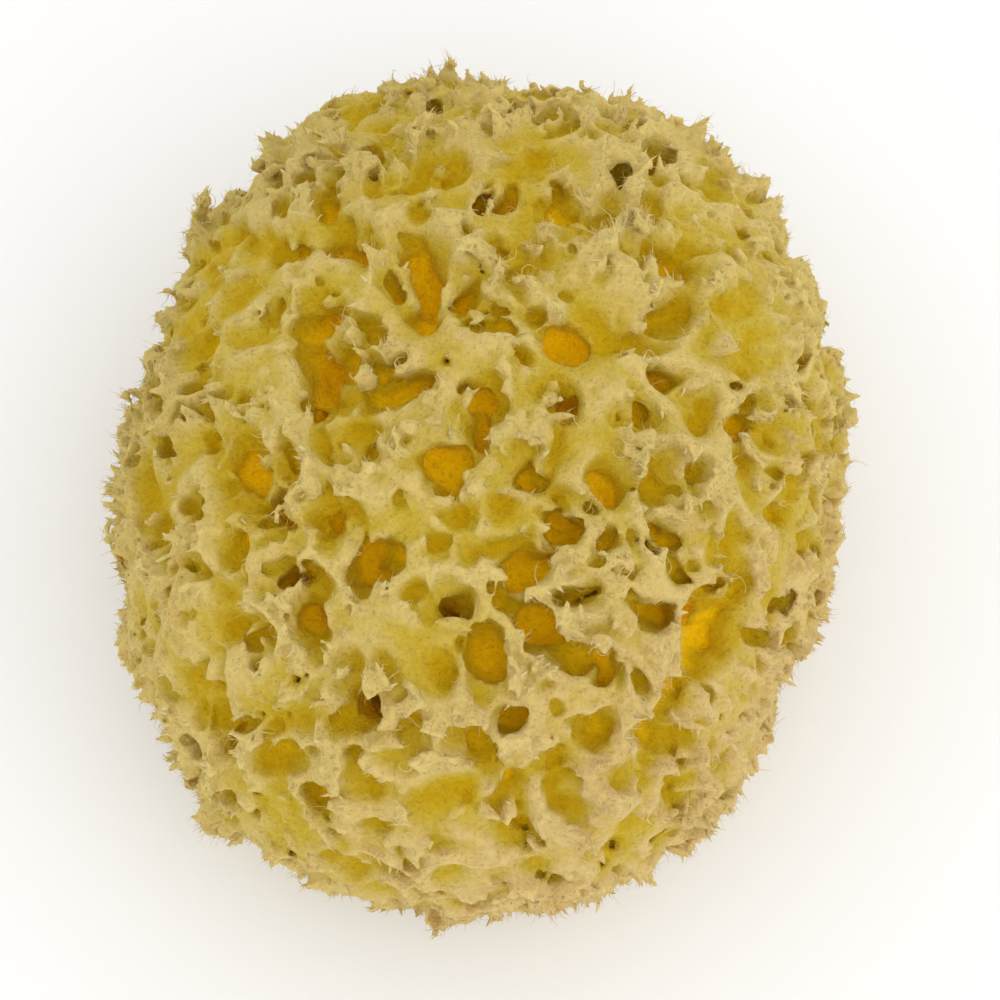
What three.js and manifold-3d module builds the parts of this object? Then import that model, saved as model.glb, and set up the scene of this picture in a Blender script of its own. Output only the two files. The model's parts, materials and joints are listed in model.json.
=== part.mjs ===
// A natural sea sponge: one rounded, porous body that grew in one piece, cut flat underneath where it
// was taken off the rock. Millimetres, +Z up, +Y along the sponge, origin at the middle of the flat cut.
import * as THREE from "three";
import { mergeVertices } from "three/addons/utils/BufferGeometryUtils.js";
import Module from "manifold-3d";

const wasm = await Module();
wasm.setup();

// Driving dimensions, over the tips of the tufts.
const length = 130.4;
const width = 108;
const height = 82;
const bellyHeight = 36; // the widest level, above the cut
const underDepth = 52; // how far the round underside would reach below the belly if it weren't cut off
const roundness = 2.25; // power of the outline: 2 is an ellipsoid, more is boxier
const skinDetail = 11; // divisions along each edge of the icosahedron that the skin starts from
const tuftRelief = 1.4; // how far the hollows between tufts lie under the tips

// Broad swellings and hollows of the outline: tilt from the crown, bearing from +X towards +Y, both in
// degrees, then the spread in degrees and the height in millimetres.
const swellings = [
  [86, 326, 20, -2.6],
  [80, 298, 16, 1.3],
  [78, 146, 22, 1.2],
  [82, 174, 14, 1.2],
  [84, 50, 20, -1.8],
  [82, 114, 14, 1.2],
  [88, 238, 18, -0.6],
  [52, 96, 20, -1.8],
  [22, 50, 20, 1.2],
  [34, 196, 18, 1.0],
  [42, 296, 18, 1.4],
  [62, 262, 16, 1.0],
  [58, 22, 18, 1.2],
  [70, 182, 16, 1.4],
  [96, 60, 20, 1.6],
  [104, 205, 18, 1.6],
  [100, 350, 18, 1.4],
  [112, 120, 18, 1.2],
];

// Pores that run in from the skin: tilt and bearing of one end of the mouth, tilt and bearing of the
// other, then the width across the mouth and the depth in millimetres. A round pore has both ends alike.
const crownPores = [
  [4.5, 195, 4, 290, 4.4, 9],
  [14, 246, 18, 258, 5.0, 9],
  [22, 268, 22, 268, 3.8, 7],
  [16, 47, 20, 30, 4.6, 8],
  [12.5, 100, 13, 72, 3.6, 6],
  [13.5, 350, 14.5, 355, 3.4, 7],
  [29, 291, 26.5, 303, 5.0, 10],
  [21, 124, 32, 124, 4.2, 14],
  [18, 103, 22, 105, 3.6, 9],
  [34, 161, 31, 184, 5.0, 12],
  [26, 330, 29, 328, 4.4, 8],
  [31, 344, 33, 339, 4.8, 6],
  [27, 10, 27.5, 2, 4.0, 7],
  [36, 10, 39, 8, 4.8, 6],
  [24, 250, 28.5, 262, 4.0, 6],
  [25, 200, 21, 199, 3.8, 6],
];
const shoulderPores = [
  [36, 262, 37.5, 268, 5.6, 13],
  [35, 284, 35.5, 292, 5.0, 10],
  [37, 292, 42, 292, 4.8, 8],
  [42.5, 294, 48.5, 298, 5.2, 8],
  [41, 279, 45, 283, 5.0, 8],
  [34, 249, 38, 250, 3.8, 10],
  [46.5, 229, 43.5, 233, 4.0, 12],
  [43, 241, 47.5, 246, 4.0, 8],
  [42.5, 199, 40, 208, 4.8, 10],
  [38, 143.5, 33.5, 139, 4.0, 8],
  [50.5, 135, 50.5, 135, 4.0, 5],
  [46, 147, 43, 145, 3.8, 5],
  [40, 75.5, 40, 75.5, 5.0, 7],
  [43, 66, 37, 67, 4.4, 6],
  [40, 93, 34, 100, 4.0, 8],
  [37, 53, 41, 46, 4.2, 7],
  [34.5, 34, 38, 37, 4.0, 7],
  [46, 354, 46.5, 344, 4.2, 5],
  [35.5, 306, 36, 315, 3.6, 6],
];
const flankPores = [
  [52, 328, 61, 322, 6.6, 10],
  [62, 322, 68, 320, 5.0, 6],
  [57, 309, 59.5, 313, 4.8, 6],
  [54, 255, 57, 253, 5.0, 11],
  [52, 265, 55, 272, 4.4, 7],
  [54.5, 274, 57, 279, 4.2, 7],
  [62, 267, 62, 273, 4.6, 6],
  [61, 282, 66, 282, 4.2, 8],
  [60, 289, 65, 293, 4.8, 7],
  [57, 216, 55, 219, 4.4, 7],
  [53, 203, 52, 211, 4.6, 6],
  [68.5, 234, 68, 238, 4.4, 9],
  [70, 249, 70, 254, 4.4, 6],
  [60, 168, 56, 174, 4.4, 6],
  [52, 50, 54, 46, 4.8, 6],
  [55, 346, 59, 340, 4.6, 5],
];

// Round the sides, where the pores follow no pattern, they stand in staggered rows.
const sideRows = [
  { tilt: 76, count: 9, firstBearing: 12 },
  { tilt: 92, count: 10, firstBearing: 30 },
  { tilt: 108, count: 8, firstBearing: 8 },
];
const sidePore = { width: 5, depth: 7, slant: 5 };
const basePores = { count: 7, ringX: 27, ringY: 34, width: 5, depth: 6 };
const poreSides = 8;

const skinMaterial = new THREE.MeshStandardMaterial({
  color: new THREE.Color(0.76, 0.63, 0.3),
  roughness: 0.95,
  metalness: 0,
});

// A repeatable number from 0 to 1 for each whole-number seed.
function scatter(seed) {
  const wave = Math.sin(seed * 127.1 + 311.7) * 43758.5453;
  return wave - Math.floor(wave);
}

function directionOf(tilt, bearing) {
  const down = THREE.MathUtils.degToRad(tilt);
  const round = THREE.MathUtils.degToRad(bearing);
  return new THREE.Vector3(
    Math.sin(down) * Math.cos(round),
    Math.sin(down) * Math.sin(round),
    Math.cos(down),
  );
}

// Distance from the middle of the belly to the skin: a rounded box outline with the swellings added.
function skinRadius(direction) {
  const rise = direction.z > 0 ? height - bellyHeight : underDepth;
  const sum =
    Math.abs(direction.x / (width / 2)) ** roundness +
    Math.abs(direction.y / (length / 2)) ** roundness +
    Math.abs(direction.z / rise) ** roundness;
  let radius = sum ** (-1 / roundness);
  for (const [tilt, bearing, spread, swell] of swellings) {
    const angle = direction.angleTo(directionOf(tilt, bearing));
    radius += swell * Math.exp(-((angle / THREE.MathUtils.degToRad(spread)) ** 2));
  }
  return radius;
}

function skinPoint(tilt, bearing) {
  const direction = directionOf(tilt, bearing);
  return direction.multiplyScalar(skinRadius(direction));
}

// A closed three.js geometry as a solid that booleans can work on.
function solidOf(geometry) {
  const bare = geometry.clone();
  bare.deleteAttribute("normal");
  bare.deleteAttribute("uv");
  const merged = mergeVertices(bare, 1e-4);
  return new wasm.Manifold(
    new wasm.Mesh({
      numProp: 3,
      vertProperties: merged.attributes.position.array,
      triVerts: new Uint32Array(merged.index.array),
    }),
  );
}

function geometryOf(solid) {
  const mesh = solid.getMesh();
  const geometry = new THREE.BufferGeometry();
  geometry.setAttribute("position", new THREE.BufferAttribute(mesh.vertProperties, 3));
  geometry.setIndex(new THREE.BufferAttribute(mesh.triVerts, 1));
  return geometry;
}

// The whole skin about the middle of the belly, with the shallow hollows between its tufts.
function skin() {
  const bare = new THREE.IcosahedronGeometry(1, skinDetail);
  bare.deleteAttribute("normal");
  bare.deleteAttribute("uv");
  const geometry = mergeVertices(bare, 1e-4);
  const place = geometry.attributes.position;
  const point = new THREE.Vector3();
  for (let i = 0; i < place.count; i++) {
    point.fromBufferAttribute(place, i).normalize();
    point.multiplyScalar(skinRadius(point) - tuftRelief * scatter(i));
    place.setXYZ(i, point.x, point.y, point.z);
  }
  // Each side is brought out to its stated half size, so that the box is centred and true.
  geometry.computeBoundingBox();
  const { min, max } = geometry.boundingBox;
  for (let i = 0; i < place.count; i++) {
    const [x, y, z] = [place.getX(i), place.getY(i), place.getZ(i)];
    place.setXYZ(
      i,
      (x * width) / 2 / (x > 0 ? max.x : -min.x),
      (y * length) / 2 / (y > 0 ? max.y : -min.y),
      z > 0 ? (z * (height - bellyHeight)) / max.z : z,
    );
  }
  return geometry;
}

// The space inside one pore, mouth up at the origin and running down -Z: a turned profile whose halves
// are drawn apart along X, so that a long mouth has round ends.
function poreSpace(across, along, depth) {
  const r = across / 2;
  const lip = 3; // how far it stands out past the skin
  const profile = [
    new THREE.Vector2(0, -depth),
    new THREE.Vector2(r * 0.62, -depth * 0.86),
    new THREE.Vector2(r * 0.9, -depth * 0.4),
    new THREE.Vector2(r * 1.12, 0),
    new THREE.Vector2(r * 1.5, lip),
    new THREE.Vector2(0, lip),
  ];
  const geometry = new THREE.LatheGeometry(profile, poreSides, Math.PI / poreSides);
  geometry.rotateX(Math.PI / 2);
  const place = geometry.attributes.position;
  const reach = Math.max(0, along - across) / 2;
  for (let i = 0; i < place.count; i++) {
    const x = place.getX(i);
    if (Math.abs(x) > 1e-3) place.setX(i, x + Math.sign(x) * reach);
  }
  return geometry;
}

// One pore between two ends of its mouth, each given by tilt and bearing, run in square to the skin.
function poreBetween([tiltA, bearingA, tiltB, bearingB, across, depth]) {
  const a = skinPoint(tiltA, bearingA);
  const b = skinPoint(tiltB, bearingB);
  const middle = a.clone().add(b).multiplyScalar(0.5);
  const out = middle
    .clone()
    .divide(new THREE.Vector3(width ** 2, length ** 2, (2 * (height - bellyHeight)) ** 2))
    .normalize();
  const span = b.clone().sub(a);
  const along = span.clone().addScaledVector(out, -span.dot(out));
  if (along.length() < 0.1) along.set(-out.y, out.x, 0);
  along.normalize();
  const place = new THREE.Matrix4()
    .makeBasis(along, new THREE.Vector3().crossVectors(out, along), out)
    .setPosition(middle);
  return solidOf(poreSpace(across, across + span.length(), depth).applyMatrix4(place));
}

function sidePores() {
  return sideRows.flatMap(({ tilt, count, firstBearing }, row) =>
    Array.from({ length: count }, (_, i) => {
      const seed = row * 40 + i;
      const bearing = firstBearing + (360 / count) * (i + 0.5 * (scatter(seed) - 0.5));
      const size = 0.75 + 0.5 * scatter(seed + 500);
      const high = tilt + sidePore.slant * (scatter(seed + 900) - 0.5);
      return poreBetween([
        high - sidePore.slant / 2,
        bearing,
        high + sidePore.slant / 2,
        bearing + sidePore.slant * (scatter(seed + 1300) - 0.5),
        sidePore.width * size,
        sidePore.depth * size,
      ]);
    }),
  );
}

// Pores that open in the flat cut, in an oval ring that leaves the middle whole.
function cutPores() {
  const { count, ringX, ringY, width: across, depth } = basePores;
  return Array.from({ length: count }, (_, i) => {
    const round = (2 * Math.PI * (i + 0.3 * scatter(i + 70))) / count;
    const along = across * (1 + 0.5 * scatter(i + 90));
    const space = poreSpace(across, along, depth);
    space.rotateX(Math.PI);
    space.rotateZ(round);
    space.translate(ringX * Math.cos(round), ringY * Math.sin(round), -bellyHeight);
    return solidOf(space);
  });
}

// Everything above the cut.
function aboveCut() {
  const block = new THREE.BoxGeometry(2 * width, 2 * length, 2 * height);
  block.translate(0, 0, height - bellyHeight);
  return solidOf(block);
}

function spongeGeometry() {
  const pores = [...crownPores, ...shoulderPores, ...flankPores].map(poreBetween);
  const hollows = [...pores, ...sidePores(), ...cutPores()].reduce((sum, one) => sum.add(one));
  return geometryOf(solidOf(skin()).intersect(aboveCut()).subtract(hollows));
}

const sponge = new THREE.Mesh(spongeGeometry(), skinMaterial);
sponge.name = "sponge";
sponge.position.z = bellyHeight;

const part = new THREE.Group();
part.add(sponge);

export default part;
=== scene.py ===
# A dry honeycomb sea sponge, cut flat underneath. The scene is in metres; the shaping below is in
# millimetres.
import json

import bpy
import numpy as np
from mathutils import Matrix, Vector

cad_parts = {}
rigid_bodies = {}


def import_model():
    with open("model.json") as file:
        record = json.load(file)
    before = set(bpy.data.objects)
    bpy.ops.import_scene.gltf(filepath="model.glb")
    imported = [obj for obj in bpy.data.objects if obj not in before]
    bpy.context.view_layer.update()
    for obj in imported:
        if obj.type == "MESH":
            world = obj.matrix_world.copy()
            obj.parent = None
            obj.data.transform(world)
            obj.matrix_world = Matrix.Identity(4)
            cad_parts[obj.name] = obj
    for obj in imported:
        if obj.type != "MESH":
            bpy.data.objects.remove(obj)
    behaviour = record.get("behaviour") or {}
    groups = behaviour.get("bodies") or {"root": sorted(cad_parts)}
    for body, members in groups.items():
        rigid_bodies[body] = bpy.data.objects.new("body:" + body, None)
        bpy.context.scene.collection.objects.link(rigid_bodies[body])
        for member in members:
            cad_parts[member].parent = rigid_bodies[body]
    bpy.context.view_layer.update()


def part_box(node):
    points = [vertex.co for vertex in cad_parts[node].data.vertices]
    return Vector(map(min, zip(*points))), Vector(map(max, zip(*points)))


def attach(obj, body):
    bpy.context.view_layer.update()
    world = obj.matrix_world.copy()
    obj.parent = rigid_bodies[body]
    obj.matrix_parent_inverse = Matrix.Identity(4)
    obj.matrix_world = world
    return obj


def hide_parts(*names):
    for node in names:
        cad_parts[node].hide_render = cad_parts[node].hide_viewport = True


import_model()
mm = 0.001
low, high = (np.array(corner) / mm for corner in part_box("sponge"))
halfWidth = (high[0] - low[0]) / 2
halfLength = (high[1] - low[1]) / 2
height = high[2]
print("frame loaded, box in mm:", np.round(high - low, 1))

# The outline: a rounded belly with swellings and hollows, cut off flat below.
outline = {
    "bellyHeight": 36.0,  # the widest level above the cut
    "underDepth": 52.0,  # how far the round underside would reach if it weren't cut off
    "roundness": 2.25,  # 2 gives a plain ellipsoid, more a squarer one
    "skin": 1.2,  # how far the felt lies inside the tips
    # swellings and hollows: tilt from the crown, bearing from +X, spread in degrees, height
    "swellings": [
        (86, 326, 20, -2.6),
        (80, 298, 16, 1.3),
        (78, 146, 22, 1.2),
        (82, 174, 14, 1.2),
        (84, 50, 20, -1.8),
        (82, 114, 14, 1.2),
        (88, 238, 18, -0.6),
        (52, 96, 20, -1.8),
        (22, 50, 20, 1.2),
        (34, 196, 18, 1.0),
        (42, 296, 18, 1.4),
        (62, 262, 16, 1.0),
        (58, 22, 18, 1.2),
        (70, 182, 16, 1.4),
        (96, 60, 20, 1.6),
        (104, 205, 18, 1.6),
        (100, 350, 18, 1.4),
        (112, 120, 18, 1.2),
    ],
}


# Unit directions from the tilt off the crown and the bearing from +X, both in degrees.
def directionOf(tilt, bearing):
    tilt, bearing = np.radians(tilt), np.radians(bearing)
    ring = np.sin(tilt)
    return np.stack([ring * np.cos(bearing), ring * np.sin(bearing), np.cos(tilt)], -1)


# Distance from the middle of the belly to the skin: one over the root of the sum of each part of the
# direction over its half size, all to the power of the roundness, plus a bell curve for each swelling.
def skinRadius(direction):
    power = outline["roundness"]
    rise = np.where(direction[..., 2] > 0, height - outline["bellyHeight"], outline["underDepth"])
    total = np.abs(direction[..., 0] / halfWidth) ** power
    total += np.abs(direction[..., 1] / halfLength) ** power
    total += np.abs(direction[..., 2] / rise) ** power
    radius = total ** (-1 / power)
    for tilt, bearing, spread, swell in outline["swellings"]:
        cosine = np.clip(direction @ directionOf(tilt, bearing), -1, 1)
        radius += swell * np.exp(-((np.degrees(np.arccos(cosine)) / spread) ** 2))
    return radius


bellyCentre = np.array([0, 0, outline["bellyHeight"]])


def skinPoint(tilt, bearing):
    direction = directionOf(tilt, bearing)
    return direction * skinRadius(direction)[..., None] + bellyCentre


# Outward normal of the skin: the cross product of its two tangents, taken a degree apart.
def skinNormal(tilt, bearing):
    tilt = np.maximum(tilt, 1.0)
    down = skinPoint(tilt + 0.5, bearing) - skinPoint(tilt - 0.5, bearing)
    around = skinPoint(tilt, bearing + 0.5) - skinPoint(tilt, bearing - 0.5)
    normal = np.cross(down, around)
    return normal / np.linalg.norm(normal, axis=-1, keepdims=True)


# The grid of points that the body is worked out on.
grid = {
    "voxel": 0.46,
    "margin": 2.5,  # round the box of the solid
    "under": 2.5,  # under the cut, in voxels
    "outlineStep": 4,  # voxels between the points that the outline is worked out on
    "crowdStep": 2,  # and between those of the crowding
    "lumpSpread": 0.19,  # spread of the splines' values, which brings that of the lumps to about 1
}
voxel = grid["voxel"]
gridStart = np.array([low[0] - grid["margin"], low[1] - grid["margin"], -grid["under"] * voxel])
gridEnd = high + grid["margin"]
gridShape = tuple(int(n) for n in np.ceil((gridEnd - gridStart) / voxel))
axes = [gridStart[a] + voxel * np.arange(gridShape[a], dtype=np.float32) for a in range(3)]


# Weights of a cubic B-spline from a coarse row of values to a fine one, as a matrix.
def splineMatrix(count, cell, shift):
    place = np.arange(count) / cell + shift
    first = np.floor(place).astype(int)
    t = place - first
    weights = [(1 - t) ** 3, 3 * t**3 - 6 * t**2 + 4, -3 * t**3 + 3 * t**2 + 3 * t + 1, t**3]
    matrix = np.zeros((count, first[-1] + 4), np.float32)
    for step, weight in enumerate(weights):
        matrix[np.arange(count), first + step] = weight / 6
    return matrix


# Coarse values brought to the whole grid by the splines along each axis.
def spreadOut(matrices, coarse):
    field = np.tensordot(matrices[0], coarse, (1, 0))
    field = np.tensordot(field, matrices[1], (1, 1))
    return np.tensordot(field, matrices[2], (1, 1))


# Soft lumps about `size` across: random values on a coarse lattice, smoothed by splines along each axis.
def lumps(seed, size):
    random = np.random.default_rng(seed)
    matrices = [splineMatrix(count, size / voxel, random.uniform(0, 1)) for count in gridShape]
    coarse = random.uniform(-1, 1, [m.shape[1] for m in matrices]).astype(np.float32)
    return spreadOut(matrices, coarse) / grid["lumpSpread"]


# Depth under the smooth skin at every grid point: how far inside the skin radius it lies, over the slope.
def depthField():
    step = grid["outlineStep"]
    matrices = [splineMatrix(len(axis), step, 0) for axis in axes]
    coarseAxes = [axis[0] + voxel * step * (np.arange(m.shape[1]) - 1) for axis, m in zip(axes, matrices)]
    place = np.stack(np.meshgrid(*coarseAxes, indexing="ij"), -1) - bellyCentre
    distance = np.linalg.norm(place, axis=-1)
    depth = skinRadius(place / np.maximum(distance, 1e-3)[..., None]) - distance
    slope = np.sqrt(sum(part**2 for part in np.gradient(depth, voxel * step)))
    depth = (depth / np.maximum(slope, 1.0)).astype(np.float32)
    return spreadOut(matrices, depth)


# The lesser of two fields, with a rounded join about `blend` wide.
def smoothMin(a, b, blend):
    mix = np.clip(0.5 + 0.5 * (b - a) / blend, 0, 1)
    return b + (a - b) * mix - blend * mix * (1 - mix)


depth = depthField()
print("outline worked out on", gridShape)

# Each main pore of the crown and flanks: tilt, bearing, length and width of the mouth, the way its long
# side points seen from above (degrees from +X), and its depth.
mainPores = [
    # far side of the crown
    (27, 123, 10, 4.2, 118, 12), (37, 116, 5, 3, 116, 4), (18.5, 108, 3.4, 3.2, 0, 8),
    (38, 99, 5, 2.3, 100, 10), (33, 101, 5, 2, 100, 5), (38.5, 92, 4, 2.9, 90, 9), (43, 94, 6, 3, 0, 3),
    (38.5, 79, 6.5, 4.8, 80, 7), (41.5, 86, 4, 3, 0, 3.5), (37, 70, 9, 5, 72, 5),
    (27.5, 93, 3.4, 2.4, 90, 6), (22.5, 101, 2.8, 1.6, 95, 4), (25, 82, 4.4, 2.8, 60, 3.5),
    (27, 73, 3.8, 1.8, 75, 4), (45.5, 107, 4.4, 3.6, 20, 5), (46.5, 86, 3, 3, 0, 3),
    (56, 101, 3, 2.4, 100, 2.5), (54, 113, 2.2, 1.5, 110, 2), (51.5, 119, 4, 3, 120, 3),
    (45.5, 116, 2.5, 1.8, 100, 3), (28, 136, 2.7, 2.6, 0, 8), (34.5, 58, 3.2, 2.6, 0, 3.5),
    (12.5, 85, 7.5, 3.8, 0, 6), (16.5, 63, 4, 2.6, 60, 5), (17, 38, 6.5, 5.2, 20, 9),
    (23, 31, 6, 3, 20, 6), (25, 153, 3.8, 3.6, 0, 5), (22.5, 45, 4, 2.5, 110, 5), (10, 152, 2.2, 2, 0, 5),
    # left of the crown, far half
    (37, 138, 6, 4, 170, 8), (32.5, 139, 2.8, 1.3, 95, 5), (44.5, 145, 4.4, 3.4, 160, 5),
    (48.5, 149, 4.8, 3.4, 165, 5), (48, 134, 4.4, 3.6, 140, 4), (44, 124, 3, 2.6, 0, 2.5),
    (53.5, 142, 5, 3.6, 150, 3), (55, 149, 6, 4, 150, 3), (36, 153, 3.4, 2.2, 175, 4),
    (33.5, 160, 5, 3.4, 30, 9), (32, 172, 8, 4.6, 98, 12), (28.5, 167, 3.6, 2.8, 10, 9),
    (42, 162, 4.4, 3.2, 105, 5), (50.5, 159, 4, 3, 0, 3), (47.5, 157, 2, 2, 0, 3), (55, 172, 8, 6, 90, 5),
    (43.5, 168, 2.2, 1.2, 0, 3), (24, 165, 4.4, 3.2, 165, 5), (20, 172, 2.6, 2.4, 0, 5),
    (57.5, 158, 4, 3, 0, 2.5),
    # right of the crown, far half
    (40.5, 50, 6.4, 4, 0, 8), (46.5, 49, 3, 2.2, 60, 5), (37, 53, 3.2, 1.8, 70, 5), (51, 53, 8, 5, 20, 4),
    (48, 62, 8, 3.2, 68, 4.5), (36, 37, 5.6, 4.6, 40, 7), (44.5, 34, 3.2, 2.2, 80, 3.5),
    (51, 36, 3, 2.6, 0, 2.5), (54, 26, 1.8, 1.6, 0, 2), (45, 20, 4.6, 2.8, 0, 4.5),
    (54, 20, 4.5, 2.5, 70, 3), (34, 43, 2.2, 2, 0, 4),
    # left of the crown, near half
    (28, 187, 6.6, 5, 60, 7), (30, 190, 3, 3, 0, 10), (42.5, 186, 3, 2.6, 0, 4),
    (42.5, 191, 1.2, 1, 0, 3), (38.5, 192, 1.3, 1.1, 0, 3), (43, 202, 6.6, 4.2, 163, 9),
    (40.5, 212, 4.6, 4.2, 0, 11), (34, 207, 4.8, 3, 105, 5), (23, 205, 4.6, 3.1, 5, 5),
    (20.5, 215, 3.2, 2.4, 80, 5), (28.5, 207, 6.5, 2, 120, 3.5), (29.5, 233, 5, 4.4, 150, 3.5),
    (34.5, 227, 3.6, 3, 60, 7), (41, 221, 3.2, 2.8, 0, 3.5), (54, 206, 5, 4.4, 100, 5),
    (48, 217, 3.8, 2, 70, 5), (44.5, 229.5, 7, 4.2, 5, 5), (45, 231, 3.8, 2.2, 5, 14),
    (57.5, 217, 4.6, 4.6, 0, 5), (45, 240, 8, 4, 95, 6), (46.5, 242, 4, 2.4, 95, 10),
    (34, 245, 6.5, 4, 75, 10), (31.5, 247, 3.4, 3, 0, 9), (37, 246, 4, 3, 0, 10),
    (52.5, 226, 4, 3.6, 0, 3), (59, 199, 1.8, 1.6, 0, 3), (64, 204, 3, 2, 0, 2.5),
    (36.5, 234, 4.6, 3.6, 0, 2.5), (68, 217, 2.4, 2, 0, 2.5),
    # the crown itself
    (3, 240, 6, 4.6, 150, 8), (7, 250, 4.2, 2.3, 100, 10), (14.5, 182, 5.6, 2.3, 170, 7),
    (11.5, 188, 1.4, 1.4, 0, 10), (18, 168, 3.2, 2.6, 0, 7), (13.7, 352, 3, 2.6, 0, 12),
    (8, 2, 3, 2.6, 0, 2.5), (12, 300, 5, 4, 40, 3.5), (15.5, 259, 7.2, 5.2, 105, 10),
    (21.5, 269, 4.6, 3.2, 100, 6), (17, 313, 2.6, 1.6, 80, 7), (21.5, 292, 3.6, 3.4, 0, 3.5),
    (27, 250, 10, 5.5, 165, 3), (27.5, 258, 4, 3, 0, 6), (27.5, 273, 3.3, 2.8, 0, 5),
    (28.5, 294, 8.4, 4.6, 45, 10), (36.5, 270.5, 7, 6.4, 0, 6), (36.5, 270.5, 3.5, 3.2, 0, 16),
    (34, 285, 7.6, 3.8, 175, 8), (39, 291, 6.4, 5, 128, 10), (37, 305, 5.2, 2.6, 15, 7),
    (27.5, 329, 4.6, 3.6, 150, 8), (23.5, 354, 3, 1.8, 120, 6), (18, 4, 2, 1.6, 0, 2.5),
    (33, 318, 2, 1.2, 20, 5), (27, 285, 3, 2.2, 10, 5),
    # right of the crown, near half
    (27.5, 2, 6, 3.4, 98, 7), (32, 16, 4.6, 3.6, 0, 8), (38, 8, 5.4, 4.6, 100, 6.5),
    (47.5, 17, 2.6, 1.8, 70, 4), (44, 14, 1.5, 1.4, 0, 6), (49, 11, 4.6, 2.4, 10, 4),
    (47, 5, 3, 2.8, 60, 7), (51.5, 4, 3.2, 2.6, 60, 5), (37.5, 349, 2.6, 1.9, 70, 7),
    (33.5, 343, 6.4, 5.2, 80, 5), (27, 349, 1.9, 1.7, 0, 4), (49, 355, 5, 4, 100, 4),
    (49, 356, 2.2, 2.2, 0, 6), (55.5, 352, 4, 1.7, 15, 6), (38.5, 331, 3, 2.4, 0, 6),
    (37, 326, 2.3, 1.3, 5, 8), (51.5, 335, 6.4, 5, 150, 7), (55, 325, 11, 9, 100, 8),
    (51, 324, 4, 4, 0, 11), (57, 343, 6, 4, 0, 3), (42, 337, 4, 3, 0, 2.5), (64, 333, 8, 2.2, 10, 5),
    # near flank, left
    (54.5, 255, 7, 6, 30, 6), (53.5, 257, 3.6, 3.2, 0, 15), (54, 244, 2.6, 2.4, 0, 5),
    (48.5, 249, 2, 2, 0, 4), (46, 257, 1.6, 1.6, 0, 4), (51.5, 251, 1.8, 1.8, 0, 3),
    (56.5, 263, 2.8, 2.4, 0, 4), (68, 229, 7, 5, 0, 3), (70, 234, 5, 4, 0, 5), (69.5, 237, 4.5, 4, 0, 6),
    (71.5, 239.5, 3.5, 2.2, 45, 9), (72, 249, 5, 4, 150, 4), (79, 256, 3, 2.4, 0, 3),
    (63, 261, 4.4, 4, 0, 5), (70, 264, 5.6, 5, 0, 5),
    # near flank, middle
    (43, 277, 7, 6, 110, 10), (47, 279, 6, 4, 160, 6), (45.5, 269, 2.3, 2.3, 0, 5),
    (45.5, 269, 6, 4, 0, 2.5), (44.5, 297, 6.4, 4.8, 140, 9), (48, 301, 6, 4, 115, 9),
    (51, 281, 4.4, 2.9, 15, 9), (53, 266, 5, 3.4, 100, 5), (54.5, 275, 8, 4.2, 150, 7),
    (57, 279, 6, 5, 130, 3), (47, 290, 3.2, 2.2, 100, 5), (51.5, 290, 4.6, 3.6, 110, 4),
    (51, 295, 3.6, 2, 5, 3), (62, 281, 4.8, 3.4, 95, 6), (67.5, 282.5, 5.6, 3.2, 100, 6),
    (60, 291, 6.6, 4.6, 140, 6), (65, 292, 6, 4.6, 110, 5), (62.5, 270.5, 6.6, 5.2, 0, 5.5),
    (55.5, 296, 3.6, 2.6, 0, 4), (55, 299, 7, 3, 105, 5), (63, 299, 4.8, 4, 0, 3.5),
    (70, 293, 4, 3, 0, 3), (69, 275, 4, 3, 0, 3),
    # near flank, right
    (56.5, 316, 7, 5, 40, 6), (60.5, 308, 5.4, 4.6, 0, 6), (63.5, 321, 6, 4.6, 0, 5),
    (64.5, 311, 4.8, 4.2, 0, 5), (70, 310, 6.5, 3, 100, 5), (71, 317, 4, 1.2, 70, 6),
    (74, 317, 4, 1.2, 100, 6), (63, 304, 6, 5, 0, 3),
]

poreShape = {
    "widen": 1.48,  # the field's rounding and the torn edges take this much of a mouth back
    "flare": 0.22,  # how much wider the mouth is than the throat
    "flareDepth": 1.3,
    "taper": 0.38,  # how much narrower the end is
    "reach": 3.0,  # how far out from a pore's wall its field is worked out
    "lean": 0.1,  # how far a pore leans off the skin's normal
    "leastDrop": 0.25,  # keeps the long side from standing upright where the skin is steep
    "blend": 0.4,  # rounding where two pores meet
    "endRound": 0.9,  # rounding of the end, in half widths
}


# Evenly scattered tilts and bearings: a golden-angle spiral over the ball, each point nudged.
def scatterOver(count, seed, nudge=0.35):
    random = np.random.default_rng(seed)
    level = 1 - 2 * (np.arange(count) + 0.5) / count
    spread = nudge * 90 / np.sqrt(count)
    tilt = np.degrees(np.arccos(level)) + random.normal(0, spread, count)
    bearing = np.arange(count) * 137.50776 + random.normal(0, spread, count)
    return np.clip(tilt, 1, 178), bearing % 360


# Distance from each point to the nearest of the others.
def nearest(points, others):
    return np.sqrt(((points[:, None, :] - others[None, :, :]) ** 2).sum(-1)).min(1)


# Turns rows of tilt, bearing, length, width, heading and depth into arrays of mouths and directions.
def poreRows(rows, seed):
    random = np.random.default_rng(seed)
    tilt, bearing, length, width, heading, deep = np.array(rows, float).T
    inward = -skinNormal(tilt, bearing)
    inward += random.normal(0, poreShape["lean"], inward.shape)
    inward /= np.linalg.norm(inward, axis=1, keepdims=True)
    turn = np.radians(heading)
    rise = -(inward[:, 0] * np.cos(turn) + inward[:, 1] * np.sin(turn))
    rise /= np.minimum(inward[:, 2], -poreShape["leastDrop"])
    along = np.stack([np.cos(turn), np.sin(turn), rise], -1)
    along -= inward * (along * inward).sum(1, keepdims=True)
    along /= np.linalg.norm(along, axis=1, keepdims=True)
    return {
        "mouth": skinPoint(tilt, bearing),
        "inward": inward,
        "along": along,
        "half": np.stack([length, width], -1) / 2 * poreShape["widen"],
        "deep": deep,
    }


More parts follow.
